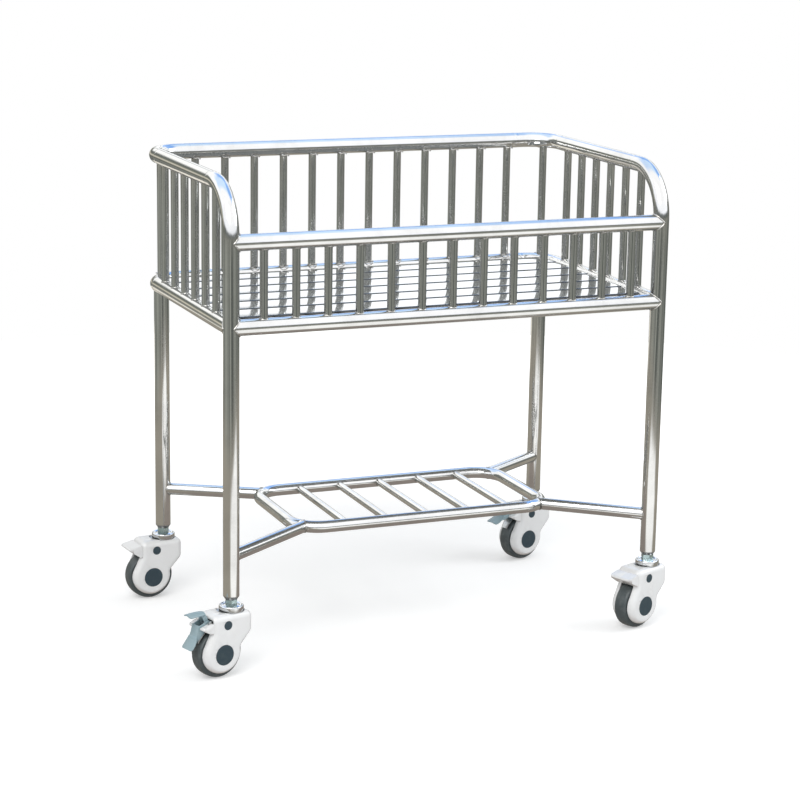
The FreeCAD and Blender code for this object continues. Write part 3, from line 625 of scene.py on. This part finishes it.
def shelfWelds():
    rings = []
    thin, bead = tubeSize["shelf"], weldShape["thin"]
    height = shelfMiddle.z
    barX, barY = shelfHigh.x - thin - shelfMiddle.x, shelfHigh.y - thin - shelfMiddle.y
    halfway = shelfBend * math.sqrt(0.5)    # from a corner's centre to the middle of its bend
    for x, y in legAxis.values():
        sideX, sideY = (1 if x > shelfMiddle.x else -1), (1 if y > shelfMiddle.y else -1)
        middle = Vector((shelfMiddle.x + sideX * (barX - shelfBend + halfway),
                         shelfMiddle.y + sideY * (barY - shelfBend + halfway), height))
        leg = Vector((x, y, height))
        run = (middle - leg).normalized()
        rings.append(weldRing(leg, run, (0, 0, 1), thin, tubeSize["main"], bead))
        rings.append(weldRing(middle, -run, (-run.y, run.x, 0), thin, thin, bead))
    for low, high in separateSpans("shelf_rods", 0):
        for side in (1, -1):
            rings.append(weldRing(((low + high) / 2, shelfMiddle.y + side * barY, height), (0, -side, 0),
                                  (1, 0, 0), tubeSize["rod"], thin, weldShape["bar"]))
    return rings


for name, rings, finish in (("frameWelds", frameWelds(), weldFinish), ("barWelds", barWelds(), weldFinish),
                            ("shelfWelds", shelfWelds(), weldFinish),
                            ("buttWelds", buttWelds(), finishes["polished_steel"])):
    beads = joinPieces(rings)
    settle(beads, Matrix.Identity(4), weldShape["crease"])
    dress(beads, name, finish, "frame")
print("bassinet: welds laid")


# the camera stands at an offset from the floor midway between the front legs
cameraView = {"offset": (-1.81586, -4.13369, 1.56806), "yaw": 0.3917, "pitch": -0.2298, "roll": 0.0165,
              "lens": 105.14, "sensor": 36, "reach": 60}


def makeCamera(settings):
    leftLow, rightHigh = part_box("front_leg_left")[0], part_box("front_leg_right")[1]
    middleX, legY = (leftLow.x + rightHigh.x) / 2, leftLow.y + tubeSize["main"]
    yaw, pitch, roll = settings["yaw"], settings["pitch"], settings["roll"]
    forward = Vector((math.sin(yaw) * math.cos(pitch), math.cos(yaw) * math.cos(pitch), math.sin(pitch)))
    level = Vector((math.cos(yaw), -math.sin(yaw), 0))
    upright = level.cross(forward)
    across = level * math.cos(roll) + upright * math.sin(roll)
    upward = upright * math.cos(roll) - level * math.sin(roll)
    bpy.ops.object.camera_add()
    camera = bpy.context.object
    camera.name = "viewCamera"
    camera.data.lens = settings["lens"]
    camera.data.sensor_width = settings["sensor"]
    turn = Matrix((across, upward, -forward)).transposed().to_4x4()
    camera.matrix_world = Matrix.Translation(Vector((middleX, legY, 0)) + Vector(settings["offset"])) @ turn
    camera.data.clip_end = settings["reach"]
    bpy.context.scene.camera = camera
    print("bassinet: camera at", [round(x, 4) for x in camera.location])


makeCamera(cameraView)

# the pale floor glows more from one distance to the other, so that its edge doesn't show
studio = {"floorSize": 3.0, "floorSteps": 96, "floorDrop": 0.0002, "floorTone": 0.80,
          "nearGlow": 0.38, "farGlow": 0.7, "glowFrom": 0.8, "glowTo": 1.7,
          "worldLevel": 0.62, "worldTint": (0.96, 0.98, 1), "roomRadius": 40.0, "roomSteps": (48, 32)}
lamps = {"keySoftbox": {"place": (-2.2, -2.6, 3.6), "size": 2.4, "power": 87, "tint": (1, 0.99, 0.97)},
         "fillSoftbox": {"place": (3.2, -1.0, 2.6), "size": 2.2, "power": 52, "tint": (0.94, 0.97, 1)}}
lampTarget = (0, 0, 0.4)


def anyOf(tree, path, names):
    total = path.outputs[names[0]]
    for name in names[1:]:
        total = shader(tree, "ShaderNodeMath", {0: total, 1: path.outputs[name]},
                       operation="MAXIMUM").outputs[0]
    return total


def makeFloor(settings):
    material, tree = blankMaterial("paleFloor")
    path = shader(tree, "ShaderNodeLightPath")
    seen = anyOf(tree, path, ["Is Camera Ray", "Is Glossy Ray", "Is Transmission Ray"])
    matt = shader(tree, "ShaderNodeBsdfDiffuse", {"Color": (*grey(settings["floorTone"]), 1)})
    place = shader(tree, "ShaderNodeTexCoord").outputs["Object"]
    away = shader(tree, "ShaderNodeVectorMath", {0: place}, operation="LENGTH").outputs["Value"]
    level = shader(tree, "ShaderNodeMapRange", {"Value": away, "From Min": settings["glowFrom"],
                                                "From Max": settings["glowTo"],
                                                "To Min": settings["nearGlow"],
                                                "To Max": settings["farGlow"]}).outputs[0]
    glow = shader(tree, "ShaderNodeMath", {0: seen, 1: level}, operation="MULTIPLY")
    light = shader(tree, "ShaderNodeEmission", {"Strength": glow.outputs[0]})
    both = shader(tree, "ShaderNodeAddShader", {0: matt.outputs[0], 1: light.outputs[0]})
    shader(tree, "ShaderNodeOutputMaterial", {"Surface": both.outputs[0]})
    bpy.ops.mesh.primitive_circle_add(vertices=settings["floorSteps"], radius=settings["floorSize"],
                                      fill_type="NGON", location=(0, 0, -settings["floorDrop"]))
    floor = bpy.context.object
    floor.name = "studioFloor"
    floor.data.materials.append(material)


# what polished tube reflects, by height from straight down (0) over the horizon (0.5) to straight up (1)
roomTones = {"front": [(0.00, (0.20, 0.19, 0.17)), (0.40, (0.27, 0.26, 0.22)), (0.46, (0.22, 0.22, 0.19)),
                       (0.49, (0.10, 0.11, 0.10)), (0.53, (0.15, 0.16, 0.16)), (0.56, (0.95, 0.97, 1.0)),
                       (0.80, (1.0, 1.0, 1.0)), (1.0, (1.0, 1.0, 1.0))],
             "back": [(0.00, (0.20, 0.19, 0.17)), (0.40, (0.27, 0.26, 0.22)), (0.47, (0.13, 0.13, 0.12)),
                      (0.61, (0.22, 0.23, 0.21)), (0.635, (0.95, 0.98, 1.0)), (0.70, (1.0, 1.0, 1.0)),
                      (0.715, (0.18, 0.20, 0.20)), (0.73, (0.90, 0.95, 1.0)), (0.77, (0.95, 0.98, 1.0)),
                      (0.79, (0.34, 0.54, 0.92)), (0.92, (0.22, 0.42, 0.85)), (0.97, (0.60, 0.78, 1.0))],
             "trees": [(0.40, (0.16, 0.16, 0.13)), (0.47, (0.10, 0.105, 0.09)), (0.52, (0.62, 0.58, 0.48)),
                       (0.555, (0.16, 0.17, 0.14)), (0.625, (0.12, 0.13, 0.12)), (0.655, (0.95, 0.95, 0.92)),
                       (0.78, (1.0, 1.0, 1.0)), (0.86, (0.60, 0.76, 1.0))],
             "treesFrom": -0.10, "treesTo": -0.30, "behindFrom": -0.05, "behindTo": 0.20,
             "gapFrom": 0.30, "gapTo": 0.21, "gapLift": 0.075, "strength": 1.3, "calm": (0.24, 0.25, 0.24),
             "streakTall": 0.2, "streakScale": 7.0, "streakDetail": 4, "streakSway": 0.06}
# the ground that it reflects: tones, and patches given by middle, size and softness of the edge
groundTones = {"size": 7.0, "steps": 64, "height": 0.0006, "earth": (0.36, 0.335, 0.28),
               "far": (0.34, 0.35, 0.31), "deep": (0.10, 0.11, 0.10), "shade": (0.30, 0.265, 0.235),
               "farFrom": 1.9, "farTo": 2.8, "deepAt": 0.40, "farAt": 0.58,
               "stripeScale": 2.4, "stripeDetail": 2.5, "stripeRough": 0.55,
               "blotchScale": 3.0, "blotchDetail": 5, "blotchShare": 0.5, "edge": 1.25,
               "pale": (1.15, 1.15, 1.12), "cream": (0.95, 0.90, 0.80),
               "patch": ((0.20, -1.22), (1.15, 0.68), 0.12), "behind": ((-0.3, 2.7), (1.3, 0.55), 0.1),
               "under": ((0.03, 0.0), (0.62, 0.48), 0.2), "calm": (0.24, 0.24, 0.22)}


def outOfSight(card):
    # the card shows in polished metal only
    for rays in ("camera", "diffuse", "shadow", "transmission"):
        setattr(card, "visible_" + rays, False)


def onceSeen(tree, colour, calm):
    # the full pattern in the first reflection, one calm tone in a reflection of a reflection
    depth = shader(tree, "ShaderNodeLightPath").outputs["Ray Depth"]
    again = shader(tree, "ShaderNodeMapRange", {"Value": depth, "From Min": 1.0, "From Max": 2.0}).outputs[0]
    return mixed(tree, again, colour, (*calm, 1))


def makeRoom(settings, tones):
    material, tree = blankMaterial("roomTones")
    place = shader(tree, "ShaderNodeTexCoord").outputs["Object"]
    facing = shader(tree, "ShaderNodeMapping", {"Vector": place, "Rotation": (0, 0, cameraView["yaw"])})
    direction = shader(tree, "ShaderNodeVectorMath", {0: facing.outputs[0]}, operation="NORMALIZE").outputs[0]
    parts = shader(tree, "ShaderNodeSeparateXYZ", {0: direction})
    height = shader(tree, "ShaderNodeMapRange", {"Value": parts.outputs["Z"], "From Min": -1.0}).outputs[0]
    tall = shader(tree, "ShaderNodeMapping", {"Vector": direction, "Scale": (1, 1, tones["streakTall"])})
    streaks = shader(tree, "ShaderNodeTexNoise", {"Vector": tall.outputs[0], "Scale": tones["streakScale"],
                                                  "Detail": tones["streakDetail"]})
    wave = shader(tree, "ShaderNodeMath", {0: streaks.outputs["Fac"], 1: 0.5}, operation="SUBTRACT")
    uneven = shader(tree, "ShaderNodeMath", {0: wave.outputs[0], 1: tones["streakSway"], 2: height},
                    operation="MULTIPLY_ADD").outputs[0]
    # straight behind, the light comes down lower between the dark trees
    aside = shader(tree, "ShaderNodeMath", {0: parts.outputs["X"]}, operation="ABSOLUTE").outputs[0]
    gap = shader(tree, "ShaderNodeMapRange", {"Value": aside, "From Min": tones["gapFrom"],
                                              "From Max": tones["gapTo"]}).outputs[0]
    lower = shader(tree, "ShaderNodeMath", {0: gap, 1: tones["gapLift"], 2: uneven},
                   operation="MULTIPLY_ADD").outputs[0]
    front = ramp(tree, uneven, tones["front"])
    back = ramp(tree, lower, tones["back"])
    trees = ramp(tree, uneven, tones["trees"])
    leftward = shader(tree, "ShaderNodeMapRange", {"Value": parts.outputs["X"],
                                                   "From Min": tones["treesFrom"],
                                                   "From Max": tones["treesTo"]}).outputs[0]
    back = mixed(tree, leftward, back, trees)
    behind = shader(tree, "ShaderNodeMapRange", {"Value": parts.outputs["Y"],
                                                 "From Min": tones["behindFrom"],
                                                 "From Max": tones["behindTo"]}).outputs[0]
    colour = onceSeen(tree, mixed(tree, behind, front, back), tones["calm"])
    light = shader(tree, "ShaderNodeEmission", {"Color": colour, "Strength": tones["strength"]})
    shader(tree, "ShaderNodeOutputMaterial", {"Surface": light.outputs[0]})
    around, high = settings["roomSteps"]
    bpy.ops.mesh.primitive_uv_sphere_add(segments=around, ring_count=high, radius=settings["roomRadius"])
    room = bpy.context.object
    room.name = "studioRoom"
    room.data.materials.append(material)
    outOfSight(room)


def inPatch(tree, place, settings, middle, size, soft):
    # one inside an ellipse on the ground, falling softly to nothing at its edge
    local = shader(tree, "ShaderNodeVectorMath", {0: place, 1: (*middle, 0)}, operation="SUBTRACT").outputs[0]
    scaled = shader(tree, "ShaderNodeVectorMath", {0: local, 1: (1 / size[0], 1 / size[1], 0)},
                    operation="MULTIPLY").outputs[0]
    away = shader(tree, "ShaderNodeVectorMath", {0: scaled}, operation="LENGTH").outputs["Value"]
    blotch = shader(tree, "ShaderNodeTexNoise", {"Vector": place, "Scale": settings["blotchScale"],
                                                 "Detail": settings["blotchDetail"]}).outputs["Fac"]
    uneven = shader(tree, "ShaderNodeMath", {0: blotch, 1: settings["blotchShare"], 2: away},
                    operation="MULTIPLY_ADD").outputs[0]
    return shader(tree, "ShaderNodeMapRange", {"Value": uneven, "From Min": settings["edge"] + soft,
                                               "From Max": settings["edge"] - soft}).outputs[0]


def makeGround(settings):
    # the ground as the tubes see it: earth, darker far off and in the part's own shade, sunny in front
    material, tree = blankMaterial("groundTones")
    place = shader(tree, "ShaderNodeTexCoord").outputs["Object"]
    sunny, behind, shaded = [inPatch(tree, place, settings, *settings[part])
                             for part in ("patch", "behind", "under")]
    away = shader(tree, "ShaderNodeVectorMath", {0: place}, operation="LENGTH").outputs["Value"]
    far = shader(tree, "ShaderNodeMapRange", {"Value": away, "From Min": settings["farFrom"],
                                              "From Max": settings["farTo"]}).outputs[0]
    bearing = shader(tree, "ShaderNodeVectorMath", {0: place}, operation="NORMALIZE").outputs[0]
    stripes = shader(tree, "ShaderNodeTexNoise", {"Vector": bearing, "Scale": settings["stripeScale"],
                                                  "Detail": settings["stripeDetail"],
                                                  "Roughness": settings["stripeRough"]})
    distant = ramp(tree, stripes.outputs["Fac"], [(settings["deepAt"], settings["deep"]),
                                                  (settings["farAt"], settings["far"])])
    colour = mixed(tree, far, (*settings["earth"], 1), distant)
    colour = mixed(tree, sunny, colour, (*settings["pale"], 1))
    colour = mixed(tree, behind, colour, (*settings["cream"], 1))
    colour = onceSeen(tree, mixed(tree, shaded, colour, (*settings["shade"], 1)), settings["calm"])
    glow = shader(tree, "ShaderNodeEmission", {"Color": colour, "Strength": 1.0})
    shader(tree, "ShaderNodeOutputMaterial", {"Surface": glow.outputs[0]})
    bpy.ops.mesh.primitive_circle_add(vertices=settings["steps"], radius=settings["size"],
                                      fill_type="NGON", location=(0, 0, 0))
    ground = bpy.context.object
    ground.name = "studioGround"
    ground.location.z = settings["height"]
    ground.data.materials.append(material)
    outOfSight(ground)


def makeWorld(settings):
    world = bpy.data.worlds.new("paleStudio")
    world.use_nodes = True
    tree = world.node_tree
    tree.nodes.clear()
    path = shader(tree, "ShaderNodeLightPath")
    seen = anyOf(tree, path, ["Is Camera Ray", "Is Glossy Ray", "Is Transmission Ray"])
    ambient = shader(tree, "ShaderNodeBackground", {"Color": (*settings["worldTint"], 1),
                                                    "Strength": settings["worldLevel"]})
    white = shader(tree, "ShaderNodeBackground", {"Color": (1, 1, 1, 1), "Strength": 1.0})
    both = shader(tree, "ShaderNodeMixShader", {0: seen, 1: ambient.outputs[0], 2: white.outputs[0]})
    shader(tree, "ShaderNodeOutputWorld", {"Surface": both.outputs[0]})
    bpy.context.scene.world = world


def makeLamp(name, settings):
    bpy.ops.object.light_add(type="AREA", location=settings["place"])
    lamp = bpy.context.object
    lamp.name = name
    lamp.data.size = settings["size"]
    lamp.data.energy = settings["power"]
    lamp.data.color = settings["tint"]
    aim = Vector(lampTarget) - Vector(settings["place"])
    lamp.rotation_euler = aim.to_track_quat("-Z", "Y").to_euler()


makeFloor(studio)
makeRoom(studio, roomTones)
makeGround(groundTones)
makeWorld(studio)
for name, settings in lamps.items():
    makeLamp(name, settings)
bpy.context.scene.view_settings.view_transform = "Standard"
print("bassinet: studio lit")
